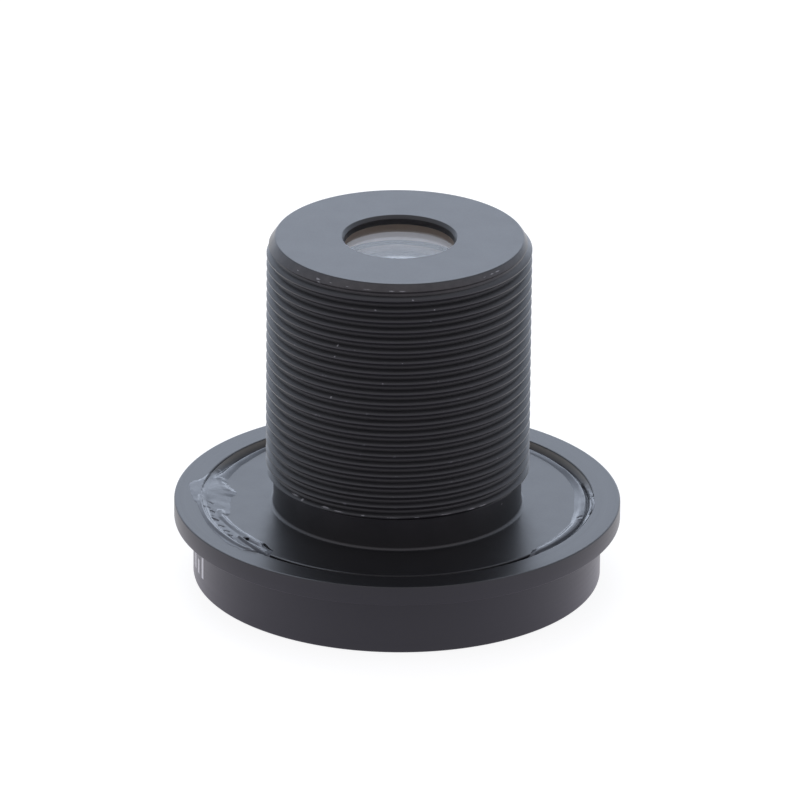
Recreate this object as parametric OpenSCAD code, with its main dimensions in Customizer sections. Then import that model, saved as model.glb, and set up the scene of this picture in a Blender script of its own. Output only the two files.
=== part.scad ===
// Fisheye board lens: a finely threaded barrel on a wide, low front head.
// Millimetres. Z is the optical axis, and the lens stands on its front rim at Z = 0,
// with the rear face and its small glass window looking up.

/* [Barrel outside] */
// Outside diameter of the thread
thread_d = 11.95; // [11.8:0.01:12]
// Pitch of the thread
thread_pitch = 0.5; // [0.4:0.05:0.6]
// Width of the thread's flat crests, as a share of the pitch
crest_share = 0.125; // [0.1:0.005:0.34]
// Depth of the thread, as a share of the pitch
depth_share = 0.54; // [0.4:0.01:0.55]
// Height of the lowest thread crest
thread_z = 5.12; // [4.8:0.02:6]
// Depth of the plain neck below the thread's crests
neck_step = 0.35; // [0.3:0.05:0.5]
// Radius of the fillet where the neck meets the collar
neck_fillet = 0.15; // [0.05:0.05:0.4]
// Width of the chamfer round the rear face
rear_chamfer_w = 0.375; // [0.2:0.025:0.6]
// Height of the chamfer round the rear face
rear_chamfer_h = 0.55; // [0.2:0.05:0.7]

/* [Collar] */
// Height of the collar's rear face
collar_z = 3.4; // [3.3:0.05:3.6]
// Thickness of the collar
collar_t = 0.7; // [0.5:0.05:0.8]
// Bevel round the collar's rear edge
collar_bevel = 0.06; // [0.02:0.01:0.15]
// Width of the adhesive groove between the collar and the head
groove_w = 0.5; // [0.35:0.05:0.7]

/* [Rear window] */
// Width of the seat between the hole in the rear wall and the filter's edge
filter_seat_w = 1.12; // [0.8:0.02:1.4]
// Thickness of the rear wall, down to the filter
rear_wall_t = 0.42; // [0.35:0.01:0.6]
// Width of the bevel round the hole
window_bevel_w = 0.12; // [0.05:0.01:0.3]
// Depth of the bevel round the hole
window_bevel_h = 0.2; // [0.1:0.02:0.3]
// Width of the shoulder between the rear bore and the filter's edge
filter_step = 0.3; // [0.2:0.05:0.4]
// Thickness of the infrared filter
filter_t = 0.3; // [0.2:0.05:0.5]

/* [Bore steps] */
// Wall of the barrel between the neck and the front bore
barrel_wall = 0.825; // [0.7:0.025:0.9]
// Width of the step from the front bore down to the rear bore
bore_step = 0.9; // [0.7:0.05:1]
// Radial clearance of the glass and rings in their bores
bore_clear = 0.02; // [0.01:0.01:0.05]

/* [Rear glass] */
// Width of the flat rim round the rear group's surfaces
rear_rim_w = 0.9; // [0.8:0.05:1.2]
// Gap between each surface's rim and the ring on it
ring_relief = 0.15; // [0.05:0.05:0.3]
// Length of the ring under the filter
filter_ring_t = 0.9; // [0.8:0.05:1.1]
// Thickness of the thin black light masks
mask_t = 0.1; // [0.05:0.05:0.2]
// Edge thickness of the rear element
rear_edge_t = 1.4; // [1:0.05:1.6]
// Rise of the rear element's rear surface
rear_back_rise = 0.6; // [0.3:0.05:0.7]
// Rise of the rear element's front surface
rear_front_rise = 0.5; // [0.3:0.05:0.7]
// Length of the ring between the rear element and the doublet
doublet_ring_t = 1; // [0.9:0.05:1.2]
// Edge thickness of the doublet's flint half
flint_edge_t = 1; // [0.8:0.05:1.2]
// Depth of the flint's hollow rear surface
flint_hollow = 0.25; // [0.1:0.05:0.5]
// Edge thickness of the doublet's crown half
crown_edge_t = 1; // [0.8:0.05:1.2]
// Rise of the cemented surface
cement_rise = 0.6; // [0.4:0.05:0.7]
// Thickness of the cement layer
cement_t = 0.01; // [0.005:0.005:0.02]
// Rise of the crown's front surface
crown_rise = 0.45; // [0.2:0.05:0.6]

/* [Stop and middle glass] */
// Length of the ring between the doublet and the stop
stop_ring_t = 0.8; // [0.7:0.05:1]
// Thickness of the aperture stop
stop_t = 0.12; // [0.08:0.02:0.2]
// Diameter of the stop's fixed opening
stop_d = 1.9; // [1.2:0.1:3]
// Length of the ring between the stop and the third element
third_ring_t = 0.8; // [0.7:0.05:1]
// Edge thickness of the third element
third_edge_t = 1.3; // [1:0.05:1.5]
// Rise of the third element's rear surface
third_back_rise = 0.5; // [0.3:0.05:0.6]
// Rise of the third element's front surface
third_front_rise = 0.35; // [0.2:0.05:0.5]

/* [Second element] */
// Length of the ring between the second and third elements
second_ring_t = 1.2; // [1:0.05:1.4]
// Edge thickness of the second element
second_edge_t = 1.4; // [1.3:0.05:1.6]
// Depth of its hollow rear surface
second_hollow = 1.1; // [0.6:0.05:1.2]
// Width of the flat rim round its front surface
second_rim_w = 0.6; // [0.5:0.05:0.9]
// Rise of its front surface
second_rise = 0.3; // [0.1:0.05:0.4]
// Height of the threaded lock ring in front of it
lock_ring_t = 1; // [0.7:0.05:1.1]
// Depth of the lock ring in the barrel
lock_recess = 0.79; // [0.5:0.01:1.2]
// Width of the lock ring's spanner slots
lock_slot_w = 0.8; // [0.5:0.1:1.2]
// Depth of the lock ring's spanner slots
lock_slot_t = 0.45; // [0.2:0.05:0.5]

/* [Front element] */
// Height of the front dome's crown above the front rim
dome_z = 0.15; // [0.1:0.05:0.4]
// Rise of the front dome
dome_rise = 1.75; // [1.4:0.05:1.9]
// Diameter of the hollow rear surface
hollow_d = 8.8; // [8:0.1:9.2]
// Depth of the hollow rear surface
hollow_rise = 1.6; // [1:0.05:1.65]
// Section diameter of the seal ring round the front element
seal_d = 0.93; // [0.8:0.01:0.98]
// Clearance between the seal ring and its seats
seal_clear = 0.01; // [0.005:0.005:0.03]

/* [Head] */
// Height by which the outer ring stands above the collar
head_step = 0.2; // [0.1:0.05:0.4]
// Diameter of the outer ring
flange_d = 20.25; // [19.6:0.05:21]
// Thickness of the outer ring
flange_t = 0.9; // [0.6:0.05:1.2]
// Bevel round the outer ring's edges
flange_bevel = 0.07; // [0.02:0.01:0.15]
// Width by which the outer ring stands out past the drum
flange_step = 0.875; // [0.6:0.025:1.1]
// Wall of the drum round the seal ring
drum_wall = 0.35; // [0.3:0.05:0.5]
// Bevel round the drum's front edge
drum_bevel = 0.1; // [0.05:0.01:0.2]
// Width of the flat front rim, with its bevel
rim_w = 0.4; // [0.3:0.05:0.6]
// How far the front lip covers the edge of the glass
lip_cover = 0.35; // [0.2:0.05:0.5]
// Height of the straight wall inside the front lip
lip_wall = 0.25; // [0.1:0.05:0.5]
// Gap between the front lip and the glass
lip_clear = 0.01; // [0.005:0.005:0.03]

/* [Adhesive] */
// Depth of the bead in the groove
bead_t = 0.45; // [0.3:0.05:0.6]
// Gap between the bead and the walls that it fills
bead_clear = 0.01; // [0.005:0.005:0.02]
// How far the bead covers the edge of the collar
bead_in = 0.3; // [0.1:0.05:0.4]
// Height of the bead over the collar
bead_rise = 0.06; // [0.04:0.01:0.12]
// Angle of the open groove at the front, where the bead stops
bead_gap = 87; // [40:1:120]
// Angle of the smeared stretch on the left
smear_span = 62; // [20:1:90]
// How far the smear spreads over the collar
smear_in = 0.7; // [0.5:0.05:1]
// How far the smear spreads over the outer ring
smear_out = 0.35; // [0.1:0.05:0.6]

/* [Hidden] */
$fn = 96;

// Length by which a cutter passes its wall
cut = 0.1;
// Points on a fillet arc
arc_steps = 5;

// Slope of the thread's flanks
flank_angle = 30;
// Angle by which the smear stops short of the bead's end
smear_step = 1;

// Thread profile
crest_w = thread_pitch * crest_share;
thread_depth = thread_pitch * depth_share;
flank_h = thread_depth * tan(flank_angle);
thread_r = thread_d / 2;
root_r = thread_r - thread_depth;
neck_r = thread_r - neck_step;
rear_face_r = thread_r - rear_chamfer_w;

// Bores and clear openings, from the neck inwards
front_bore_r = neck_r - barrel_wall;
rear_bore_r = front_bore_r - bore_step;
filter_r = rear_bore_r - filter_step;
window_r = filter_r - filter_seat_w;
front_glass_r = front_bore_r - bore_clear;
rear_glass_r = rear_bore_r - bore_clear;
second_clear_r = front_bore_r - second_rim_w;
rear_clear_r = rear_bore_r - rear_rim_w;
lock_ring_r = second_clear_r + ring_relief;
ring_r = rear_clear_r + ring_relief;

// Head and front element, from the outer ring inwards
head_h = collar_z + head_step;
flange_r = flange_d / 2;
flange_z = head_h - flange_t;
drum_r = flange_r - flange_step;
head_bore_r = drum_r - drum_wall;
collar_r = head_bore_r - groove_w;
collar_front_z = collar_z - collar_t;
dome_r = head_bore_r - seal_d - 2 * seal_clear;
dome_ball_r = ball_r(dome_r, dome_rise);
lip_r = dome_r - lip_cover;
dome_at_lip = dome_z + dome_ball_r - sqrt(pow(dome_ball_r, 2) - pow(lip_r, 2));
lip_top_z = min(dome_at_lip, collar_front_z - seal_d - seal_clear) - lip_clear;
rim_r = drum_r - rim_w;

// Glass train, stacked up from the lock ring, each height that of the piece's rear face
lock_front_z = collar_front_z + lock_recess;
lock_ring_z = lock_front_z + lock_ring_t;
front_mask_z = lock_ring_z + mask_t;
second_z = front_mask_z + second_edge_t;
second_ring_z = second_z + second_ring_t;
third_z = second_ring_z + third_edge_t;
third_ring_z = third_z + third_ring_t;
stop_z = third_ring_z + stop_t;
stop_ring_z = stop_z + stop_ring_t;
crown_z = stop_ring_z + crown_edge_t;
flint_z = crown_z + flint_edge_t;
doublet_ring_z = flint_z + doublet_ring_t;
rear_z = doublet_ring_z + rear_edge_t;
rear_mask_z = rear_z + mask_t;
shoulder_z = rear_mask_z + filter_ring_t;
filter_z = shoulder_z + filter_t + bore_clear;

// Rear end of the barrel, and the ridges between the lowest crest and the one that the chamfer cuts
barrel_h = filter_z + rear_wall_t;
chamfer_z = barrel_h - rear_chamfer_h;
crests = ceil((barrel_h - thread_z) / thread_pitch) - 1;
top_crest = thread_z + crests * thread_pitch;

black = "#26272b";
soft_black = "#1a1a1c";
glass = "#b9c6d2";
coated = "#8f9db6";

// Radius of the ball whose cap has this rim and this rise
function ball_r(rim, rise) = (rim * rim + rise * rise) / (2 * rise);

// A quarter arc round (cx, cz) from angle a0 to angle a1
function arc(cx, cz, r, a0, a1) = [
    for (i = [0:arc_steps])
        let (a = a0 + (a1 - a0) * i / arc_steps)
        [cx + r * cos(a), cz + r * sin(a)]
];

// One ridge of the thread, listed downwards from its upper root corner
function ridge(z) = [
    [root_r, z + crest_w + flank_h],
    [thread_r, z + crest_w],
    [thread_r, z],
    [root_r, z - flank_h]
];

// A flat ring from z0 up to z1
module ring(r_out, r_in, z0, z1) {
    difference() {
        translate([0, 0, z0]) cylinder(r = r_out, h = z1 - z0);
        translate([0, 0, z0 - cut]) cylinder(r = r_in, h = z1 - z0 + 2 * cut);
    }
}

// A raised spherical surface above the plane z, inside the edge radius
module dome_up(edge_r, clear_r, rise, z) {
    r = ball_r(clear_r, rise);
    intersection() {
        translate([0, 0, z + rise - r]) sphere(r);
        translate([0, 0, z - cut]) cylinder(r = edge_r, h = rise + 2 * cut);
    }
}

// The same below the plane z
module dome_down(edge_r, clear_r, rise, z) {
    translate([0, 0, 2 * z]) mirror([0, 0, 1]) dome_up(edge_r, clear_r, rise, z);
}

// A ball that hollows a face from above, down to the given depth
module hollow_up(clear_r, depth, z) {
    r = ball_r(clear_r, depth);
    translate([0, 0, z - depth + r]) sphere(r);
}

// What the chamfer round the rear face takes off the thread
module chamfer_cutter() {
    slope = rear_chamfer_w / rear_chamfer_h;
    rotate_extrude() polygon([
        [rear_face_r - cut * slope, barrel_h + cut],
        [thread_r + cut, barrel_h + cut],
        [thread_r + cut, chamfer_z - cut / slope]
    ]);
}

// Barrel, neck and collar, turned from one bar
module threaded_bar() {
    rotate_extrude() polygon(concat(
        [
            [window_r, barrel_h - window_bevel_h],
            [window_r + window_bevel_w, barrel_h],
            [thread_r, barrel_h],
            [thread_r, top_crest],
            [root_r, top_crest - flank_h]
        ],
        [for (i = [crests - 1:-1:1]) each ridge(thread_z + i * thread_pitch)],
        [
            [root_r, thread_z + crest_w + flank_h],
            [thread_r, thread_z + crest_w],
            [thread_r, thread_z],
            [neck_r, thread_z - (thread_r - neck_r) * tan(flank_angle)]
        ],
        arc(neck_r + neck_fillet, collar_z + neck_fillet, neck_fillet, 180, 270),
        [
            [collar_r - collar_bevel, collar_z],
            [collar_r, collar_z - collar_bevel],
            [collar_r, collar_front_z],
            [front_bore_r, collar_front_z],
            [front_bore_r, second_z],
            [rear_bore_r, second_z],
            [rear_bore_r, shoulder_z],
            [filter_r + bore_clear, shoulder_z],
            [filter_r + bore_clear, filter_z],
            [window_r, filter_z]
        ]
    ));
}

module main_barrel() {
    color(black) difference() {
        threaded_bar();
        chamfer_cutter();
    }
}

// Drum and outer ring in one piece, with the lip that holds the front element
module head_shell() {
    color(black) rotate_extrude() polygon([
        [drum_r - drum_bevel, 0],
        [drum_r, drum_bevel],
        [drum_r, flange_z],
        [flange_r - flange_bevel, flange_z],
        [flange_r, flange_z + flange_bevel],
        [flange_r, head_h - flange_bevel],
        [flange_r - flange_bevel, head_h],
        [head_bore_r + flange_bevel, head_h],
        [head_bore_r, head_h - flange_bevel],
        [head_bore_r, lip_top_z],
        [lip_r, lip_top_z],
        [lip_r, lip_top_z - lip_wall],
        [rim_r, 0]
    ]);
}

// A stretch of adhesive from one angle round to another, both counted from the front
module adhesive_arc(from, to) {
    rotate([0, 0, from - 90]) rotate_extrude(angle = to - from) children();
}

// Cured adhesive: a bead that laps over the collar's edge, smeared on the left over the outer ring
module adhesive_bead() {
    in_r = collar_r + bead_clear;
    out_r = head_bore_r - bead_clear;
    mid_r = (in_r + out_r) / 2;
    low_z = collar_z - bead_t;
    film_z = collar_z + bead_clear;
    bead_end = 360 - bead_gap / 2;
    color("#50535a") union() {
        adhesive_arc(bead_gap / 2, bead_end) polygon([
            [in_r, low_z],
            [out_r, low_z],
            [out_r, collar_z - bead_rise],
            [mid_r, film_z],
            [in_r, collar_z + bead_rise],
            [collar_r - bead_in, film_z],
            [in_r, film_z]
        ]);
        adhesive_arc(bead_end - smear_step - smear_span, bead_end - smear_step) polygon([
            [in_r + 2 * bead_clear, collar_z - bead_t / 2],
            [out_r - 2 * bead_clear, collar_z - bead_t / 2],
            [out_r - 2 * bead_clear, head_h + bead_clear],
            [head_bore_r + smear_out, head_h + bead_clear],
            [head_bore_r + smear_out / 2, head_h + bead_rise],
            [out_r, head_h + bead_rise],
            [in_r, collar_z + 2 * bead_rise],
            [collar_r - smear_in / 2, collar_z + bead_rise],
            [collar_r - smear_in, film_z + bead_clear],
            [in_r + 2 * bead_clear, film_z + bead_clear]
        ]);
    }
}

// Large front meniscus: a shallow dome in front and a deep hollow behind
module front_element() {
    color(coated, 0.6) difference() {
        intersection() {
            translate([0, 0, dome_z + dome_ball_r]) sphere(dome_ball_r);
            translate([0, 0, dome_z - cut]) cylinder(r = dome_r, h = collar_front_z - dome_z + cut);
        }
        hollow_up(hollow_d / 2, hollow_rise, collar_front_z);
    }
}

// Seal ring squeezed between the glass, the collar and the drum
module front_seal_ring() {
    color(soft_black) translate([0, 0, collar_front_z - seal_clear - seal_d / 2]) rotate_extrude()
        translate([dome_r + seal_clear + seal_d / 2, 0]) circle(d = seal_d, $fn = 32);
}

// Threaded ring that holds the inner stack, with two spanner slots
module inner_lock_ring() {
    color(black) difference() {
        ring(front_glass_r, lock_ring_r, lock_front_z, lock_ring_z);
        translate([-front_bore_r, -lock_slot_w / 2, lock_front_z - cut])
            cube([2 * front_bore_r, lock_slot_w, lock_slot_t + cut]);
    }
}

module front_light_mask() {
    color(soft_black) ring(front_glass_r, lock_ring_r, lock_ring_z, front_mask_z);
}

// Second meniscus, hollow towards the stop
module second_element() {
    color(glass, 0.6) difference() {
        union() {
            translate([0, 0, front_mask_z]) cylinder(r = front_glass_r, h = second_edge_t);
            dome_down(front_glass_r, second_clear_r, second_rise, front_mask_z);
        }
        hollow_up(rear_clear_r, second_hollow, second_z);
    }
}

module second_spacer() {
    color(black) ring(rear_glass_r, ring_r, second_z, second_ring_z);
}

// Thick positive element in front of the stop
module third_element() {
    color(glass, 0.6) union() {
        translate([0, 0, second_ring_z]) cylinder(r = rear_glass_r, h = third_edge_t);
        dome_up(rear_glass_r, rear_clear_r, third_back_rise, third_z);
        dome_down(rear_glass_r, rear_clear_r, third_front_rise, second_ring_z);
    }
}

module third_spacer() {
    color(black) ring(rear_glass_r, ring_r, third_z, third_ring_z);
}

// Fixed opening that sets the aperture
module aperture_stop() {
    color(soft_black) ring(rear_glass_r, stop_d / 2, third_ring_z, stop_z);
}

module stop_spacer() {
    color(black) ring(rear_glass_r, ring_r, stop_z, stop_ring_z);
}

// Front half of the cemented doublet
module doublet_crown() {
    color(glass, 0.6) union() {
        translate([0, 0, stop_ring_z]) cylinder(r = rear_glass_r, h = crown_edge_t - cement_t);
        dome_up(rear_glass_r, rear_clear_r, cement_rise, crown_z - cement_t);
        dome_down(rear_glass_r, rear_clear_r, crown_rise, stop_ring_z);
    }
}

// Rear half of the cemented doublet, which follows the crown's rear surface
module doublet_flint() {
    color(coated, 0.6) difference() {
        translate([0, 0, crown_z]) cylinder(r = rear_glass_r, h = flint_edge_t);
        dome_up(rear_glass_r, rear_clear_r, cement_rise, crown_z);
        hollow_up(rear_clear_r, flint_hollow, flint_z);
    }
}

module doublet_spacer() {
    color(black) ring(rear_glass_r, ring_r, flint_z, doublet_ring_z);
}

// Last element in front of the filter
module rear_element() {
    color(coated, 0.6) union() {
        translate([0, 0, doublet_ring_z]) cylinder(r = rear_glass_r, h = rear_edge_t);
        dome_up(rear_glass_r, rear_clear_r, rear_back_rise, rear_z);
        dome_down(rear_glass_r, rear_clear_r, rear_front_rise, doublet_ring_z);
    }
}

module rear_light_mask() {
    color(soft_black) ring(rear_glass_r, ring_r, rear_z, rear_mask_z);
}

module filter_spacer() {
    color(black) ring(rear_glass_r, ring_r, rear_mask_z, shoulder_z);
}

// Flat glass window under the rear wall
module infrared_filter() {
    color(coated, 0.6) translate([0, 0, filter_z - filter_t]) cylinder(r = filter_r, h = filter_t);
}

main_barrel();
head_shell();
adhesive_bead();
front_element();
front_seal_ring();
inner_lock_ring();
front_light_mask();
second_element();
second_spacer();
third_element();
third_spacer();
aperture_stop();
stop_spacer();
doublet_crown();
doublet_flint();
doublet_spacer();
rear_element();
rear_light_mask();
filter_spacer();
infrared_filter();
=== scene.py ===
"""Looks of the fisheye board lens: the threaded barrel, the turned head, the adhesive, the glass and
the studio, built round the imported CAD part. Sizes are in millimetres until a vertex is made."""

import math

import bmesh
import bpy
from mathutils import Matrix, Vector, noise


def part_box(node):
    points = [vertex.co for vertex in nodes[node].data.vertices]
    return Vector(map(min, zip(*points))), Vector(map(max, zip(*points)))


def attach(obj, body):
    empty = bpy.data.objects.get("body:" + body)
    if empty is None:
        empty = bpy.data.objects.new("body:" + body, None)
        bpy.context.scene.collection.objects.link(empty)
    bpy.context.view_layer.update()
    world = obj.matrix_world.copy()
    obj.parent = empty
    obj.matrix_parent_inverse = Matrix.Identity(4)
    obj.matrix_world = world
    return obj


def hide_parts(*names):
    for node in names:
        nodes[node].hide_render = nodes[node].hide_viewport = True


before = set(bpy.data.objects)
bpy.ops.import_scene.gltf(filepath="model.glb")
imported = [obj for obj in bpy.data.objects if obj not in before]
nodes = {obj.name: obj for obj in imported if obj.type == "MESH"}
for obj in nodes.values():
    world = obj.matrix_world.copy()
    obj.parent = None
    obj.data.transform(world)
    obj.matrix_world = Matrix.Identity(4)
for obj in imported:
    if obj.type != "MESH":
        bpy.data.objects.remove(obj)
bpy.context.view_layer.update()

MM = 0.001


def box_mm(name):
    """Lowest and highest corner of a CAD node, in millimetres."""
    low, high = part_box(name)
    return low / MM, high / MM


# Heights read from the CAD nodes, and radii of the part
barrel_low, barrel_high = box_mm("main_barrel")
shell_low, shell_high = box_mm("head_shell")
filter_low, filter_high = box_mm("infrared_filter")
second_low, second_high = box_mm("second_element")
BARREL_H = barrel_high.z
COLLAR_R = 8.4
COLLAR_FRONT_Z = barrel_low.z
HEAD_H = shell_high.z
FLANGE_R = 10.125
FILTER_Z = filter_high.z
SECOND_Z = second_high.z

# Barrel
THREAD_R = 5.975
PITCH = 0.5
CREST_W = 0.0625
THREAD_DEPTH = 0.27
FLANK_SLOPE = math.tan(math.radians(30))
CREST_EDGE = 0.014
CREST_Z = 5.15
SHOULDER_Z = 5.1
NECK_R = 5.625
NECK_FILLET = 0.15
REAR_FACE_R = 5.6
CHAMFER_H = 0.55
COLLAR_Z = 3.4
FRONT_BORE_R = 4.8
REAR_BORE_R = 3.9
FILTER_SEAT_R = 3.62
FILTER_SEAT_Z = FILTER_Z - 0.32
WINDOW_R = 2.48
WINDOW_BEVEL_W = 0.12
WINDOW_BEVEL_H = 0.15

# Head
FLANGE_Z = 2.7
DRUM_R = 9.25
HEAD_BORE_R = 8.9
LIP_R = 7.6
LIP_TOP_Z = 1.7288
LIP_WALL = 0.25
RIM_R = 8.85

# Light from the white surroundings: in front, beside, what the back adds, and the soft lamp above it
FRONT_SKY = 0.42
SIDE_SKY = 0.6
REAR_SKY = 0.12
BACKDROP = 1.3
LAMP = 2.2
LAMP_AIM = (-0.1, 0.56, 0.82)
SIDE_FLOOR = 0.88
FLOOR_GAIN = 0.42

BARREL_STEPS = 192
HEAD_STEPS = 256


def new_piece(name, bm, material, replaced=None, sharp=22):
    """Makes an object from the bmesh, shades it smooth between sharp edges and lets it ride on the part."""
    mesh = bpy.data.meshes.new(name)
    bm.to_mesh(mesh)
    bm.free()
    mesh.set_sharp_from_angle(angle=math.radians(sharp))
    for face in mesh.polygons:
        face.use_smooth = abs(face.normal.z) < 0.999
    piece = bpy.data.objects.new(name, mesh)
    bpy.context.scene.collection.objects.link(piece)
    mesh.materials.append(material)
    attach(piece, "root")
    if replaced:
        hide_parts(replaced)
    return piece


def outline(bm, points, closed=True):
    """A wire of (radius, height) points in the XZ plane."""
    verts = [bm.verts.new((r * MM, 0, z * MM)) for r, z in points]
    ends = verts[1:] + verts[:1] if closed else verts[1:]
    edges = [bm.edges.new(pair) for pair in zip(verts, ends)]
    return verts + edges


def revolve(points, steps):
    """A closed solid turned from an outline round the Z axis."""
    bm = bmesh.new()
    bmesh.ops.spin(
        bm, geom=outline(bm, points), axis=(0, 0, 1), cent=(0, 0, 0),
        angle=2 * math.pi, steps=steps, use_merge=True,
    )
    bmesh.ops.recalc_face_normals(bm, faces=bm.faces[:])
    return bm


def soften(bm, corners, width, segments=2):
    """Rounds the ring edges that run through the given (radius, height) corners."""
    found = []
    for edge in bm.edges:
        a, b = (vert.co / MM for vert in edge.verts)
        if abs(a.z - b.z) > 0.001:
            continue
        for r, z in corners:
            if abs(a.z - z) < 0.002 and abs(a.xy.length - r) < 0.002 and abs(b.xy.length - r) < 0.002:
                found.append(edge)
                break
    bmesh.ops.bevel(
        bm, geom=found, offset=width * MM, offset_type="OFFSET", segments=segments,
        profile=0.5, affect="EDGES", material=-1, clamp_overlap=True,
    )


def quarter(cx, cz, r, start, end, steps=6):
    """Points on an arc round (cx, cz), angles in degrees."""
    angles = [math.radians(start + (end - start) * i / steps) for i in range(steps + 1)]
    return [(cx + r * math.cos(a), cz + r * math.sin(a)) for a in angles]


def barrel_blank():
    """The turned barrel before its thread is cut."""
    over = THREAD_R + 0.02
    slope = CHAMFER_H / (THREAD_R - REAR_FACE_R)
    chamfer_z = BARREL_H - slope * (over - REAR_FACE_R)
    shoulder_z = SHOULDER_Z + (over - THREAD_R) * FLANK_SLOPE
    neck_top = SHOULDER_Z - (THREAD_R - NECK_R) * FLANK_SLOPE
    points = [
        (WINDOW_R, BARREL_H - WINDOW_BEVEL_H),
        (WINDOW_R + WINDOW_BEVEL_W, BARREL_H),
        (REAR_FACE_R, BARREL_H),
        (over, chamfer_z),
        (over, shoulder_z),
        (NECK_R, neck_top),
    ]
    points += quarter(NECK_R + NECK_FILLET, COLLAR_Z + NECK_FILLET, NECK_FILLET, 180, 270)
    points += [
        (COLLAR_R, COLLAR_Z),
        (COLLAR_R, COLLAR_FRONT_Z),
        (FRONT_BORE_R, COLLAR_FRONT_Z),
        (FRONT_BORE_R, SECOND_Z),
        (REAR_BORE_R, SECOND_Z),
        (REAR_BORE_R, FILTER_SEAT_Z),
        (FILTER_SEAT_R, FILTER_SEAT_Z),
        (FILTER_SEAT_R, FILTER_Z),
        (WINDOW_R, FILTER_Z),
    ]
    bm = revolve(points, BARREL_STEPS)
    soften(bm, [(REAR_FACE_R, BARREL_H)], 0.03)
    soften(bm, [(WINDOW_R + WINDOW_BEVEL_W, BARREL_H)], 0.02)
    soften(bm, [(COLLAR_R, COLLAR_Z)], 0.06)
    return bm


def thread_cutter():
    """The helical groove as a solid: a comb of thread sections swept one turn, which rises one pitch."""
    turns = 26
    start = CREST_Z - PITCH
    outer = THREAD_R + 0.4
    root = THREAD_R - THREAD_DEPTH
    half = CREST_W / 2
    flank = (THREAD_DEPTH - 0.05) * FLANK_SLOPE
    edge_z = CREST_EDGE * FLANK_SLOPE
    comb = []
    for i in range(turns):
        z = start + i * PITCH
        comb += [
            (THREAD_R, z - half + 0.5 * CREST_EDGE),
            (THREAD_R, z + half - 0.5 * CREST_EDGE),
            (THREAD_R - CREST_EDGE, z + half + edge_z),
            (root + 0.05, z + half + flank),
            (root + 0.018, z + half + flank + 0.037),
            (root, z + PITCH / 2),
            (root + 0.018, z + PITCH - half - flank - 0.037),
            (root + 0.05, z + PITCH - half - flank),
            (THREAD_R - CREST_EDGE, z + PITCH - half - edge_z),
        ]
    comb.append((THREAD_R, start + turns * PITCH - half + 0.5 * CREST_EDGE))
    back = [(outer, comb[0][1] + i * PITCH) for i in range(turns + 1)]
    bm = bmesh.new()
    bmesh.ops.spin(
        bm, geom=outline(bm, comb + back[::-1]), axis=(0, 0, 1), cent=(0, 0, 0), angle=2 * math.pi,
        steps=BARREL_STEPS, dvec=(0, 0, PITCH * MM / BARREL_STEPS), use_merge=False,
    )
    turn_start = Matrix.Rotation(-math.pi / 2, 4, "Z")
    bmesh.ops.transform(bm, matrix=turn_start, verts=bm.verts[:])
    bmesh.ops.remove_doubles(bm, verts=bm.verts[:], dist=0.0005 * MM)
    rims = [edge for edge in bm.edges if edge.is_boundary]
    bmesh.ops.holes_fill(bm, edges=rims, sides=0)
    bmesh.ops.recalc_face_normals(bm, faces=bm.faces[:])
    return bm


def cut(bm, tool):
    """The first solid less the second."""
    scratch = []
    for part in (bm, tool):
        mesh = bpy.data.meshes.new("scratch")
        part.to_mesh(mesh)
        part.free()
        scratch.append(bpy.data.objects.new("scratch", mesh))
        bpy.context.scene.collection.objects.link(scratch[-1])
    body, cutter = scratch
    modifier = body.modifiers.new("cut", "BOOLEAN")
    modifier.operation = "DIFFERENCE"
    modifier.solver = "EXACT"
    modifier.object = cutter
    graph = bpy.context.evaluated_depsgraph_get()
    result = bmesh.new()
    result.from_object(body, graph)
    for thing in scratch:
        bpy.data.objects.remove(thing)
    return result


def make_barrel(material):
    bm = cut(barrel_blank(), thread_cutter())
    piece = new_piece("threaded_barrel", bm, material, "main_barrel", sharp=18)
    low, high = THREAD_R - CREST_EDGE - 0.002, THREAD_R + 0.002
    verts = piece.data.vertices
    for edge in piece.data.edges:
        ends = [verts[i].co / MM for i in edge.vertices]
        if all(low < end.xy.length < high and SHOULDER_Z + 0.1 < end.z < 15.7 for end in ends):
            edge.use_edge_sharp = False
    return piece


def make_head(material):
    """The drum and outer ring, with finely rounded turned edges."""
    points = [
        (DRUM_R, 0),
        (DRUM_R, FLANGE_Z),
        (FLANGE_R, FLANGE_Z),
        (FLANGE_R, HEAD_H),
        (HEAD_BORE_R, HEAD_H),
        (HEAD_BORE_R, LIP_TOP_Z),
        (LIP_R, LIP_TOP_Z),
        (LIP_R, LIP_TOP_Z - LIP_WALL),
        (RIM_R, 0),
    ]
    bm = revolve(points, HEAD_STEPS)
    soften(bm, [(DRUM_R, 0)], 0.1, 3)
    soften(bm, [(FLANGE_R, FLANGE_Z), (FLANGE_R, HEAD_H)], 0.07, 3)
    soften(bm, [(HEAD_BORE_R, HEAD_H)], 0.07, 3)
    return new_piece("turned_head", bm, material, "head_shell")


def make_marks(material):
    """Three plain printed strokes on the left of the drum."""
    bm = bmesh.new()
    ink = 0.006
    for angle, low, high in ((-79.5, 0.75, 1.85), (-75.5, 0.75, 1.45), (-71.5, 0.75, 1.85)):
        width = math.radians(1.6)
        points = [(DRUM_R - 0.01, low), (DRUM_R + ink, low), (DRUM_R + ink, high), (DRUM_R - 0.01, high)]
        stroke = outline(bm, points)
        verts = [item for item in stroke if isinstance(item, bmesh.types.BMVert)]
        turn = Matrix.Rotation(math.radians(angle - 90) - width / 2, 4, "Z")
        bmesh.ops.transform(bm, matrix=turn, verts=verts)
        made = bmesh.ops.spin(
            bm, geom=stroke, axis=(0, 0, 1), cent=(0, 0, 0), angle=width, steps=4, use_merge=False,
        )
        last = [item for item in made["geom_last"] if isinstance(item, bmesh.types.BMVert)]
        bm.faces.new(verts)
        bm.faces.new(last)
    bmesh.ops.recalc_face_normals(bm, faces=bm.faces[:])
    return new_piece("drum_marks", bm, material, sharp=40)


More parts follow.
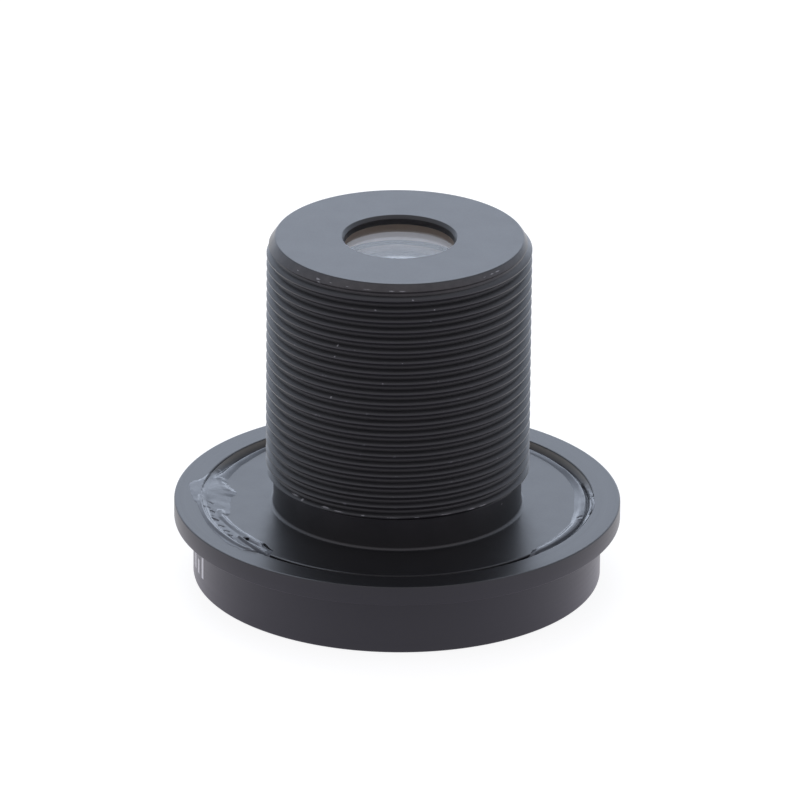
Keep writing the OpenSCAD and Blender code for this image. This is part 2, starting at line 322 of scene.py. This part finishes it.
def blend(points, x):
    """Smooth value at x between given (x, value) points."""
    if x <= points[0][0]:
        return points[0][1]
    for (x0, a), (x1, b) in zip(points, points[1:]):
        if x <= x1:
            t = (x - x0) / (x1 - x0)
            return a + (b - a) * t * t * (3 - 2 * t)
    return points[-1][1]


# The adhesive's edges by the angle from the front, counted to the right from -180 to 180
INNER_EDGE = [
    (-180, 8.2), (-135, 8.2), (-122, 8.1), (-106.5, 8.02), (-103, 7.98), (-100.5, 7.74), (-97.5, 7.46),
    (-96, 7.34), (-94, 7.37), (-91.2, 7.53), (-85, 7.58), (-78, 7.72), (-75.5, 7.93), (-70, 7.88),
    (-63.6, 7.8), (-58.6, 7.72), (-51, 7.72), (-44, 7.98), (-42, 8.5), (44, 8.5), (49, 8.15),
    (62, 8.14), (71, 8.16), (80, 8.08), (89, 8.03), (102, 8.14), (115, 8.2), (180, 8.2),
]
OUTER_EDGE = [
    (-180, 8.89), (-108, 8.89), (-102.5, 9.04), (-100.6, 9.2), (-99.5, 9.42), (-97.2, 9.54),
    (-94, 9.47), (-90.9, 9.37), (-86.9, 9.26), (-83.9, 9.12), (-79.7, 9.1), (-73.6, 9.11), (-67.6, 9.17),
    (-60.8, 9.24), (-54.6, 9.35), (-49.6, 9.3), (-46.2, 9.08), (-44, 8.89), (79, 8.89), (82, 8.97),
    (86, 8.99), (90, 8.94), (92, 8.89), (180, 8.89),
]
# Its levels above the collar: over the collar's edge, in the groove and at the groove's outer wall
LAP_LEVEL = [
    (-180, 0.08), (-120, 0.08), (-103, 0.09), (-96, 0.12), (-85, 0.11), (-76, 0.09), (-60, 0.07),
    (-50, 0.03), (-42, 0.0), (44, 0.02), (50, 0.1), (90, 0.09), (120, 0.08), (180, 0.08),
]
GROOVE_LEVEL = [
    (-180, -0.18), (-125, -0.16), (-112, -0.05), (-104, 0.1), (-92, 0.14), (-84, 0.1), (-60, 0.07),
    (-52, 0.0), (-43, -0.15), (44, -0.2), (50, -0.03), (76, 0.01), (90, 0.0), (104, -0.08),
    (120, -0.17), (180, -0.18),
]
WALL_LEVEL = [
    (-180, 0.18), (-125, 0.18), (-112, 0.14), (-103, 0.12), (-97, 0.16), (-92, 0.21), (-50, 0.22),
    (-45, 0.05), (-42, -0.15), (44, -0.15), (50, 0.1), (60, 0.17), (79, 0.18), (82, 0.2), (90, 0.2),
    (94, 0.17), (180, 0.18),
]
BEAD_CREST = [(-180, 8.42), (-125, 8.38), (44, 8.38), (50, 8.5), (96, 8.5), (112, 8.42), (180, 8.42)]
# Ridges and dents drawn one by one: height, half width, and (angle, radius) points along the middle
STROKES = [
    (0.07, 0.16, [(-89, 8.9), (-81, 8.98), (-75, 9.02), (-60, 9.03), (-50, 9.06), (-45, 9.0)]),
    (0.03, 0.3, [(-104, 8.2), (-101, 8.0), (-97.5, 7.8)]),
    (0.03, 0.2, [(-111, 8.66), (-109, 8.56), (-105, 8.4)]),
    (0.07, 0.22, [(-79, 8.12), (-74, 8.18), (-67, 8.08), (-61, 8.02), (-56, 7.95), (-50, 7.92)]),
    (0.1, 0.11, [(-58, 8.36), (-51, 8.4), (-46, 8.47), (-43, 8.5)]),
    (-0.09, 0.09, [(-60, 8.72), (-55, 8.78), (-51, 8.8), (-46, 8.78), (-42, 8.7)]),
    (-0.06, 0.09, [(-57, 8.2), (-54, 8.19), (-51, 8.18), (-46, 8.22)]),
    (-0.035, 0.07, [(-86.3, 8.57), (-84.4, 8.4)]),
    (-0.03, 0.05, [(-82.8, 8.66), (-81.2, 8.57)]),
    (-0.05, 0.07, [(-79.6, 8.56), (-78.3, 8.45)]),
    (-0.03, 0.06, [(-76.2, 8.62), (-75.4, 8.56)]),
    (-0.06, 0.08, [(-74.2, 8.66), (-72.2, 8.5)]),
    (-0.045, 0.06, [(-68.9, 8.62), (-67.3, 8.48)]),
    (-0.04, 0.07, [(-64.6, 8.6), (-63.2, 8.48)]),
    (-0.05, 0.06, [(-61.8, 8.68), (-60.1, 8.56)]),
    (-0.03, 0.08, [(-82, 8.8), (-70, 8.84), (-62, 8.84)]),
    (-0.04, 0.06, [(76.0, 8.4), (78.2, 8.54)]),
    (0.035, 0.05, [(74.8, 8.48), (76.6, 8.6)]),
    (-0.03, 0.05, [(73.6, 8.58), (75.0, 8.66)]),
    (-0.08, 0.07, [(104, 8.66), (90, 8.66), (84, 8.68), (70, 8.64), (58, 8.6), (47, 8.54)]),
    (0.03, 0.05, [(98, 8.78), (91, 8.77)]),
    (0.05, 0.1, [(94, 8.84), (85, 8.93), (79, 8.9)]),
    (0.03, 0.2, [(48, 8.3), (60, 8.34), (80, 8.36), (100, 8.42), (116, 8.45)]),
]


def stroke_height(angle, r):
    """Sum of the strokes at a place on the adhesive."""
    height = 0.0
    for rise, half, points in STROKES:
        ends = (points[0][0], points[-1][0])
        if not min(ends) - 1.5 < angle < max(ends) + 1.5:
            continue
        nearest = half
        for (a0, r0), (a1, r1) in zip(points, points[1:]):
            ax, ay = math.radians(angle - a0) * r, r - r0
            bx, by = math.radians(a1 - a0) * r, r1 - r0
            t = min(max((ax * bx + ay * by) / (bx * bx + by * by), 0), 1)
            nearest = min(nearest, math.hypot(ax - t * bx, ay - t * by))
        height += rise * (1 - (nearest / half) ** 2) ** 2
    return height


def adhesive_edges(angle):
    """Inner and outer radius of the adhesive at an angle."""
    wave = noise.noise(Vector((math.radians(angle) * 9, 0.0, 0.4)))
    outer = blend(OUTER_EDGE, angle)
    if outer > HEAD_BORE_R:
        outer += 0.02 * wave
    return blend(INNER_EDGE, angle) + 0.025 * wave, outer


def adhesive_top(angle, r, inner, outer):
    """Height of the adhesive's surface."""
    lap = blend(LAP_LEVEL, angle)
    groove = blend(GROOVE_LEVEL, angle)
    wall = blend(WALL_LEVEL, angle)
    crest = blend(BEAD_CREST, angle)
    if r < crest:
        t = min(max((r - inner) / max(crest - inner, 0.05), 0), 1)
        level = lap * (1 - (1 - t) ** 1.7)
    elif r < 8.66:
        t = (r - crest) / (8.66 - crest)
        level = lap + (groove - lap) * t * t * (3 - 2 * t)
    elif r < HEAD_BORE_R:
        t = (r - 8.66) / (HEAD_BORE_R - 8.66)
        level = groove + (wall - groove) * t ** 0.8
    else:
        t = (r - HEAD_BORE_R) / max(outer - HEAD_BORE_R, 0.02)
        level = HEAD_H - COLLAR_Z + max(wall - HEAD_H + COLLAR_Z, 0.03) * math.sqrt(max(1 - t, 0))
    ripple = noise.noise(Vector((math.radians(angle) * 14, r * 2.5, 2.0)))
    fine = noise.noise(Vector((math.radians(angle) * 60, r * 8, 5.0)))
    fade = min((r - inner) * 4, (outer - r) * 7, 1) if outer > HEAD_BORE_R else min((r - inner) * 4, 1)
    level += fade * (stroke_height(angle, r) + 0.007 * ripple + 0.002 * fine)
    return max(COLLAR_Z + level, adhesive_floor(r) + 0.003)


def adhesive_floor(r):
    """Height of the metal under the adhesive."""
    if r < COLLAR_R - 0.01:
        return COLLAR_Z + 0.001
    if r < HEAD_BORE_R - 0.005:
        return COLLAR_Z - 0.42
    return HEAD_H + 0.001


def make_adhesive(material):
    """A strip swept round the groove, fitted between the adhesive's edges and raised to its surface."""
    bm = bmesh.new()
    columns = 60
    radii = [8 + i / columns for i in range(columns + 1)]
    geom = outline(bm, [(r, COLLAR_Z) for r in radii], closed=False)
    first = [item for item in geom if isinstance(item, bmesh.types.BMVert)]
    bmesh.ops.transform(bm, matrix=Matrix.Rotation(math.radians(44 - 90), 4, "Z"), verts=first)
    for part, steps in ((61, 210), (135, 90), (78, 330)):
        made = bmesh.ops.spin(
            bm, geom=geom, axis=(0, 0, 1), cent=(0, 0, 0), angle=math.radians(part), steps=steps,
            use_merge=False,
        )
        geom = made["geom_last"]
    for vert in bm.verts:
        angle = math.degrees(math.atan2(vert.co.x, -vert.co.y))
        inner, outer = adhesive_edges(angle)
        r = inner + (outer - inner) * (vert.co.xy.length / MM - 8)
        vert.co.xy = vert.co.xy.normalized() * r * MM
        vert.co.z = adhesive_top(angle, r, inner, outer) * MM
    under = bmesh.ops.extrude_face_region(bm, geom=bm.faces[:], use_keep_orig=True)
    for item in under["geom"]:
        if isinstance(item, bmesh.types.BMVert):
            item.co.z = adhesive_floor(item.co.xy.length / MM) * MM
    bmesh.ops.recalc_face_normals(bm, faces=bm.faces[:])
    return new_piece("cured_adhesive", bm, material, "adhesive_bead", sharp=60)


def new_material(name):
    """A Principled material and the parts that its pattern is built from."""
    material = bpy.data.materials.new(name)
    material.use_nodes = True
    tree = material.node_tree
    shader = tree.nodes["Principled BSDF"]
    return material, tree, shader


def add(tree, kind, inputs=(), **settings):
    """A node with its settings, and its inputs given by number as values or as sockets."""
    made = tree.nodes.new(kind)
    for name, value in settings.items():
        setattr(made, name, value)
    for key, value in dict(inputs).items():
        if isinstance(value, bpy.types.NodeSocket):
            tree.links.new(value, made.inputs[key])
        else:
            made.inputs[key].default_value = value
    return made


def maths(tree, operation, a, b=0.0, c=0.0, clamp=False):
    return add(tree, "ShaderNodeMath", {0: a, 1: b, 2: c}, operation=operation, use_clamp=clamp).outputs[0]


def scaled_coords(tree):
    """Object coordinates in millimetres."""
    coords = add(tree, "ShaderNodeTexCoord")
    return add(
        tree, "ShaderNodeMapping", {"Vector": coords.outputs["Object"], "Scale": (1 / MM,) * 3}
    ).outputs[0]


def polar(tree):
    """Angle from the front in radians, radius and height in millimetres."""
    place = add(tree, "ShaderNodeSeparateXYZ", {0: scaled_coords(tree)})
    x, y, z = place.outputs
    angle = maths(tree, "ARCTAN2", x, maths(tree, "MULTIPLY", y, -1))
    radius = maths(tree, "SQRT", maths(tree, "ADD", maths(tree, "MULTIPLY", x, x), maths(tree, "MULTIPLY", y, y)))
    return angle, radius, z


def grain(tree, vector, scale, detail=3.0, roughness=0.55):
    """Noise from 0 to 1."""
    return add(
        tree, "ShaderNodeTexNoise",
        {"Vector": vector, "Scale": scale, "Detail": detail, "Roughness": roughness},
    ).outputs[0]


def vector_of(tree, x, y, z):
    return add(tree, "ShaderNodeCombineXYZ", {0: x, 1: y, 2: z}).outputs[0]


def ramp(tree, value, low, high, start=0.0, end=1.0):
    """Maps low..high to start..end, held at both ends."""
    return add(
        tree, "ShaderNodeMapRange", {0: value, 1: low, 2: high, 3: start, 4: end}, clamp=True
    ).outputs[0]


def mix_colour(tree, factor, a, b):
    made = add(tree, "ShaderNodeMix", data_type="RGBA")
    for socket, value in ((made.inputs[0], factor), (made.inputs[6], a), (made.inputs[7], b)):
        if isinstance(value, bpy.types.NodeSocket):
            tree.links.new(value, socket)
        else:
            socket.default_value = value
    return made.outputs[2]


def bump(tree, height, strength, distance):
    return add(
        tree, "ShaderNodeBump", {"Height": height, "Strength": strength, "Distance": distance * MM}
    ).outputs[0]


def turned_streaks(tree, angle, radius, z):
    """Fine streaks that run round the axis, as turning leaves them."""
    place = vector_of(
        tree, maths(tree, "MULTIPLY", angle, 0.6), maths(tree, "MULTIPLY", radius, 14),
        maths(tree, "MULTIPLY", z, 14),
    )
    return grain(tree, place, 1.0, 2.0)


# Nicks in the anodising: angle from the front, height, half length and half height
NICKS = [
    (-51.7, 16.12, 0.1, 0.024), (-38.8, 16.1, 0.17, 0.05), (-38.1, 15.96, 0.1, 0.09),
    (-32, 16.09, 0.09, 0.018), (-23.5, 16.08, 0.13, 0.014), (-14.3, 16.075, 0.26, 0.011),
    (-3.4, 16.07, 0.2, 0.026), (1.6, 16.07, 0.22, 0.026), (41.5, 16.17, 0.1, 0.012),
    (46.2, 16.19, 0.17, 0.026), (50, 16.2, 0.22, 0.026), (6, 15.7, 0.06, 0.045),
    (-10.2, 15.18, 0.07, 0.03), (15.4, 15.18, 0.05, 0.035), (-27.5, 13.2, 0.05, 0.05),
    (-28.6, 12.66, 0.05, 0.04), (1.7, 12.67, 0.05, 0.03), (-6.6, 11.66, 0.05, 0.03),
    (-30.3, 10.65, 0.06, 0.06), (-52, 5.2, 0.42, 0.03), (-46.5, 5.17, 0.1, 0.06), (-33, 5.19, 0.3, 0.035),
    (-26.5, 5.17, 0.34, 0.018), (-15, 5.17, 0.12, 0.03), (-2, 5.16, 0.45, 0.014), (8.5, 5.17, 0.15, 0.02),
    (21.5, 5.18, 0.36, 0.022), (34, 5.19, 0.24, 0.04), (40, 5.2, 0.3, 0.03), (57, 4.62, 0.06, 0.05),
]


def nick_gap(tree, angle, z):
    """Distance to the nearest nick, where 1 is its edge."""
    nearest = 9.0
    place = vector_of(tree, angle, z, 0.0)
    for at, height, half, rise in NICKS:
        scale = (THREAD_R / half, 1 / rise, 0)
        shift = (-math.radians(at) * scale[0], -height * scale[1], 0)
        moved = add(tree, "ShaderNodeVectorMath", {0: place, 1: scale, 2: shift}, operation="MULTIPLY_ADD")
        gap = add(tree, "ShaderNodeVectorMath", {0: moved.outputs[0]}, operation="LENGTH").outputs[1]
        nearest = maths(tree, "MINIMUM", gap, nearest)
    return nearest


def barrel_finish():
    """Black anodising on the barrel, with pale nicks on the crests and on the chamfer's edge."""
    material, tree, shader = new_material("barrel_black")
    coords = scaled_coords(tree)
    angle, radius, z = polar(tree)
    cloud = grain(tree, coords, 0.9, 4.0)
    fine = grain(tree, coords, 16.0, 2.0)

    # Distance along Z from the nearest crest's middle, where there is thread
    along = maths(tree, "MULTIPLY", ramp(tree, z, SHOULDER_Z, 5.3), ramp(tree, z, 15.7, 15.9, 1, 0))
    rise = maths(tree, "MULTIPLY", angle, PITCH / (2 * math.pi))
    local = maths(tree, "SUBTRACT", maths(tree, "SUBTRACT", z, CREST_Z), rise)
    local = maths(tree, "WRAP", local, PITCH / 2, -PITCH / 2)
    edge = maths(tree, "ABSOLUTE", maths(tree, "SUBTRACT", maths(tree, "ABSOLUTE", local), CREST_W / 2))
    near_edge = ramp(tree, edge, 0.012, 0.035, 1, 0)
    outside = maths(tree, "MULTIPLY", ramp(tree, radius, THREAD_R - 0.03, THREAD_R - 0.01), along)
    chips = grain(
        tree, vector_of(tree, maths(tree, "MULTIPLY", angle, 16), z, maths(tree, "MULTIPLY", z, 3.1)), 1.0, 3.0
    )
    nick = ramp(tree, chips, 0.66, 0.72)
    wear = maths(tree, "MULTIPLY", maths(tree, "MULTIPLY", near_edge, outside), nick)
    rough_edge = maths(tree, "MULTIPLY", grain(tree, coords, 22.0, 2.0), 1.6)
    chip = ramp(tree, maths(tree, "ADD", nick_gap(tree, angle, z), rough_edge), 1.1, 1.6, 1, 0)

    dark = mix_colour(tree, cloud, (0.008, 0.008, 0.009, 1), (0.0125, 0.0124, 0.014, 1))
    # The chamfer is painted a lighter, mottled grey: painted sheen standing in for the sky it reflects.
    chamfer = maths(tree, "MULTIPLY", ramp(tree, z, 15.78, 15.86), ramp(tree, radius, 5.61, 5.64))
    chamfer_sheen = maths(tree, "MULTIPLY", chamfer, ramp(tree, grain(tree, coords, 2.4, 4.0), 0.35, 0.65, 0.45, 1))
    dark_with_chamfer_sheen = mix_colour(tree, chamfer_sheen, dark, (0.044, 0.041, 0.041, 1))
    worn = mix_colour(tree, wear, dark_with_chamfer_sheen, (0.12, 0.12, 0.13, 1))
    tree.links.new(mix_colour(tree, chip, worn, (0.3, 0.3, 0.31, 1)), shader.inputs["Base Color"])
    rough = ramp(tree, maths(tree, "ADD", fine, cloud), 0.7, 1.3, 0.29, 0.36)
    groove = maths(tree, "MULTIPLY", ramp(tree, radius, 5.72, 5.92, 0.18, 0), along)
    collar = ramp(tree, z, 3.5, 3.7, 0.03, 0)
    uneven = maths(tree, "ADD", groove, collar)
    tree.links.new(maths(tree, "ADD", rough, uneven), shader.inputs["Roughness"])
    shader.inputs["IOR"].default_value = 1.7
    tree.links.new(bump(tree, fine, 0.12, 0.004), shader.inputs["Normal"])
    return material


def head_finish():
    """Satin black anodising on the head, with faint turning marks."""
    material, tree, shader = new_material("head_black")
    coords = scaled_coords(tree)
    angle, radius, z = polar(tree)
    cloud = grain(tree, coords, 0.7, 4.0)
    fine = grain(tree, coords, 18.0, 2.0)
    streak = turned_streaks(tree, angle, radius, z)
    tree.links.new(
        mix_colour(tree, cloud, (0.01, 0.01, 0.011, 1), (0.015, 0.0149, 0.0165, 1)),
        shader.inputs["Base Color"],
    )
    rough = ramp(tree, maths(tree, "ADD", fine, streak), 0.7, 1.3, 0.32, 0.38)
    tree.links.new(rough, shader.inputs["Roughness"])
    shader.inputs["IOR"].default_value = 1.7
    tree.links.new(bump(tree, fine, 0.1, 0.004), shader.inputs["Normal"])
    return material


def adhesive_finish():
    """Cloudy cured adhesive with a wet gloss. At the back the groove gets painted shade, near black beside the
    bead and brownish toward the ring's wall, and two spots get painted shade as two dark hollows.
    """
    material, tree, shader = new_material("cured_adhesive")
    coords = scaled_coords(tree)
    angle, radius, z = polar(tree)
    cloud = grain(tree, coords, 1.6, 4.0)
    fine = grain(tree, coords, 9.0, 3.0)
    grey = mix_colour(tree, cloud, (0.088, 0.095, 0.106, 1), (0.125, 0.134, 0.148, 1))
    # Painted shade in the groove at the back: near black beside the bead, turning brownish toward the ring's
    # wall.
    away = maths(tree, "ABSOLUTE", maths(tree, "ADD", angle, math.radians(5)))
    behind = maths(
        tree, "MULTIPLY", ramp(tree, away, math.radians(100), math.radians(112)),
        ramp(tree, radius, 8.62, 8.74),
    )
    groove_shade_to_brown = mix_colour(tree, ramp(tree, radius, 8.66, 8.84), (0.012, 0.012, 0.012, 1), (0.15, 0.135, 0.11, 1))
    grey_with_groove_shade = mix_colour(tree, behind, grey, groove_shade_to_brown)
    # Two spots painted near black with their reflection turned down: painted shade in two hollows.
    hollow_shade = 0.0
    for at, middle, half, rise in ((-55.9, 8.15, 0.13, 0.11), (-47.3, 7.85, 0.56, 0.14)):
        lean = maths(tree, "MULTIPLY", maths(tree, "SUBTRACT", angle, math.radians(at)), 8.0)
        across = maths(tree, "SUBTRACT", radius, middle)
        if half > 0.2:
            across = maths(tree, "SUBTRACT", across, maths(tree, "MULTIPLY", lean, 0.22))
        place = vector_of(
            tree, maths(tree, "DIVIDE", lean, half), maths(tree, "DIVIDE", across, rise), 0.0
        )
        gap = add(tree, "ShaderNodeVectorMath", {0: place}, operation="LENGTH").outputs[1]
        hollow_shade = maths(tree, "MAXIMUM", ramp(tree, gap, 0.8, 1.1, 1, 0), hollow_shade)
    tree.links.new(mix_colour(tree, hollow_shade, grey_with_groove_shade, (0.003, 0.003, 0.003, 1)), shader.inputs["Base Color"])
    tree.links.new(ramp(tree, hollow_shade, 0, 1, 0.5, 0.04), shader.inputs["Specular IOR Level"])
    tree.links.new(ramp(tree, fine, 0.3, 0.7, 0.13, 0.22), shader.inputs["Roughness"])
    shader.inputs["IOR"].default_value = 1.52
    tree.links.new(bump(tree, fine, 0.08, 0.01), shader.inputs["Normal"])
    return material


def plain_finish(name, dark, light, rough_low, rough_high, scale):
    """An opaque finish: black for rings, masks and the seal, and a pale brown of painted light for the filter
    ring.
    """
    material, tree, shader = new_material(name)
    fine = grain(tree, scaled_coords(tree), scale, 3.0)
    tree.links.new(mix_colour(tree, fine, dark, light), shader.inputs["Base Color"])
    tree.links.new(ramp(tree, fine, 0.3, 0.7, rough_low, rough_high), shader.inputs["Roughness"])
    tree.links.new(bump(tree, fine, 0.2, 0.01), shader.inputs["Normal"])
    return material


def ink_finish():
    """White printed strokes."""
    material, tree, shader = new_material("white_print")
    fine = grain(tree, scaled_coords(tree), 6.0, 3.0)
    tree.links.new(
        mix_colour(tree, fine, (0.62, 0.62, 0.61, 1), (0.8, 0.8, 0.79, 1)), shader.inputs["Base Color"]
    )
    shader.inputs["Roughness"].default_value = 0.5
    return material


def glass_finish(name, ior, colour):
    """Polished glass that lets the light in. Its roughness varies a little, as a wiped surface's does."""
    material, tree, shader = new_material(name)
    smear = grain(tree, scaled_coords(tree), 1.3, 4.0)
    shader.inputs["Base Color"].default_value = colour
    shader.inputs["Transmission Weight"].default_value = 1.0
    shader.inputs["IOR"].default_value = ior
    tree.links.new(ramp(tree, smear, 0.35, 0.75, 0.0, 0.03), shader.inputs["Roughness"])
    path = add(tree, "ShaderNodeLightPath").outputs
    inward = maths(tree, "MAXIMUM", path["Is Shadow Ray"], path["Is Diffuse Ray"])
    clear = add(tree, "ShaderNodeBsdfTransparent", {0: colour})
    mixed = add(tree, "ShaderNodeMixShader", {0: inward, 1: shader.outputs[0], 2: clear.outputs[0]})
    tree.links.new(mixed.outputs[0], tree.nodes["Material Output"].inputs["Surface"])
    return material


def dress_nodes(finishes):
    """Gives each CAD node that stays in view its finish."""
    for name, material in finishes.items():
        slots = nodes[name].data.materials
        slots.clear()
        slots.append(material)


def make_floor():
    bm = bmesh.new()
    bmesh.ops.create_grid(bm, x_segments=1, y_segments=1, size=2.0)
    bmesh.ops.translate(bm, verts=bm.verts[:], vec=(0, 0, -0.02 * MM))
    mesh = bpy.data.meshes.new("floor")
    bm.to_mesh(mesh)
    bm.free()
    floor = bpy.data.objects.new("floor", mesh)
    bpy.context.scene.collection.objects.link(floor)
    material, tree, shader = new_material("white_floor")
    shader.inputs["Base Color"].default_value = (0.3, 0.3, 0.3, 1)
    shader.inputs["Roughness"].default_value = 0.8
    shader.inputs["Specular IOR Level"].default_value = 0.0
    shader.inputs["Emission Color"].default_value = (1, 1, 1, 1)
    shader.inputs["Emission Strength"].default_value = 0.86
    coords = add(tree, "ShaderNodeTexCoord").outputs["Object"]
    away = add(tree, "ShaderNodeVectorMath", {0: coords}, operation="NORMALIZE").outputs[0]
    rearward = add(tree, "ShaderNodeSeparateXYZ", {0: away}).outputs[1]
    glow = ramp(tree, rearward, -1, 1, SIDE_FLOOR - FLOOR_GAIN, SIDE_FLOOR + FLOOR_GAIN)
    tint = mix_colour(tree, ramp(tree, rearward, -0.8, 0.6), (1.04, 1, 1.2, 1), (1.0, 1, 1.03, 1))
    lit = add(tree, "ShaderNodeEmission", {0: tint, 1: glow})
    path = add(tree, "ShaderNodeLightPath")
    seen = add(
        tree, "ShaderNodeMixShader",
        {0: path.outputs["Is Camera Ray"], 1: lit.outputs[0], 2: shader.outputs[0]},
    )
    tree.links.new(seen.outputs[0], tree.nodes["Material Output"].inputs["Surface"])
    mesh.materials.append(material)


def make_world():
    """White all round: full white to the camera, and a plain level of light on the lens."""
    world = bpy.data.worlds.new("studio")
    bpy.context.scene.world = world
    world.use_nodes = True
    tree = world.node_tree
    light = tree.nodes["Background"]
    coords = add(tree, "ShaderNodeTexCoord")
    place = add(tree, "ShaderNodeSeparateXYZ", {0: coords.outputs["Generated"]})
    level = ramp(tree, place.outputs[1], -1, -0.3, FRONT_SKY, SIDE_SKY)
    rear = ramp(tree, place.outputs[1], 0.3, 0.7, 0, REAR_SKY)
    behind = ramp(tree, place.outputs[1], 0.78, 0.99, 0, BACKDROP)
    aimed = add(
        tree, "ShaderNodeVectorMath", {0: coords.outputs["Generated"], 1: LAMP_AIM}, operation="DOT_PRODUCT"
    ).outputs[1]
    lamp = ramp(tree, aimed, 0.93, 0.985, 0, LAMP)
    strength = maths(tree, "ADD", maths(tree, "ADD", level, rear), maths(tree, "ADD", behind, lamp))
    tree.links.new(strength, light.inputs["Strength"])
    tint = mix_colour(tree, ramp(tree, place.outputs[1], -0.5, 0.7), (1.03, 1, 1.09, 1), (0.9, 1, 1.18, 1))
    tree.links.new(tint, light.inputs["Color"])
    backdrop = add(tree, "ShaderNodeBackground", {0: (1, 1, 1, 1), 1: 1.0})
    path = add(tree, "ShaderNodeLightPath")
    seen = add(
        tree, "ShaderNodeMixShader",
        {0: path.outputs["Is Camera Ray"], 1: light.outputs[0], 2: backdrop.outputs[0]},
    )
    tree.links.new(seen.outputs[0], tree.nodes["World Output"].inputs["Surface"])


def make_camera():
    """The photograph's view: a long lens, looking down about 23 degrees, with a slight roll."""
    elevation = 0.4025
    roll = 0.00902
    look = Vector((0, math.cos(elevation), -math.sin(elevation)))
    right = Vector((1, 0, 0))
    up = Vector((0, math.sin(elevation), math.cos(elevation)))
    turned_right = right * math.cos(roll) + up * math.sin(roll)
    turned_up = up * math.cos(roll) - right * math.sin(roll)
    place = (Vector((0, 0, 7.958)) - look * 475.55 + right * 0.0843 + up * 0.3735) * MM
    data = bpy.data.cameras.new("camera")
    data.lens = 473.2
    data.sensor_width = 36
    data.clip_start, data.clip_end = 0.01, 20
    camera = bpy.data.objects.new("camera", data)
    axes = Matrix((turned_right, turned_up, -look)).transposed().to_4x4()
    camera.matrix_world = Matrix.Translation(place) @ axes
    bpy.context.scene.collection.objects.link(camera)
    bpy.context.scene.camera = camera


make_camera()
make_world()
make_floor()

barrel_black = barrel_finish()
ring_black = plain_finish("ring_black", (0.006, 0.006, 0.007, 1), (0.014, 0.014, 0.015, 1), 0.4, 0.55, 12)
mask_film = plain_finish("mask_film", (0.004, 0.004, 0.004, 1), (0.009, 0.009, 0.009, 1), 0.6, 0.8, 20)
seal_rubber = plain_finish("seal_rubber", (0.009, 0.009, 0.009, 1), (0.018, 0.018, 0.018, 1), 0.5, 0.7, 10)
lens_glass = glass_finish("lens_glass", 1.25, (0.9, 0.93, 0.95, 1))
rear_glass = glass_finish("rear_glass", 1.9, (0.82, 0.9, 0.96, 1))
# The filter spacer is painted a pale brown, far lighter than the black rings: painted light on its wall seen
# under the filter.
filter_ring_painted_light = plain_finish("filter_ring_painted_light", (0.72, 0.62, 0.52, 1), (0.84, 0.73, 0.62, 1), 0.4, 0.55, 12)
coated_glass = glass_finish("coated_glass", 1.45, (0.86, 0.9, 0.95, 1))
filter_glass = glass_finish("filter_glass", 1.3, (0.98, 0.97, 0.96, 1))

make_barrel(barrel_black)
make_head(head_finish())
make_adhesive(adhesive_finish())
make_marks(ink_finish())

rings = ("inner_lock_ring", "second_spacer", "third_spacer", "stop_spacer", "doublet_spacer")
masks = ("front_light_mask", "aperture_stop", "rear_light_mask")
lenses = ("second_element", "third_element", "doublet_crown", "doublet_flint")
dress_nodes({name: ring_black for name in rings})
dress_nodes({name: mask_film for name in masks})
dress_nodes({name: lens_glass for name in lenses})
dress_nodes({
    "front_element": coated_glass, "rear_element": rear_glass, "infrared_filter": filter_glass,
    "filter_spacer": filter_ring_painted_light, "front_seal_ring": seal_rubber,
})

bpy.context.scene.view_settings.view_transform = "Standard"
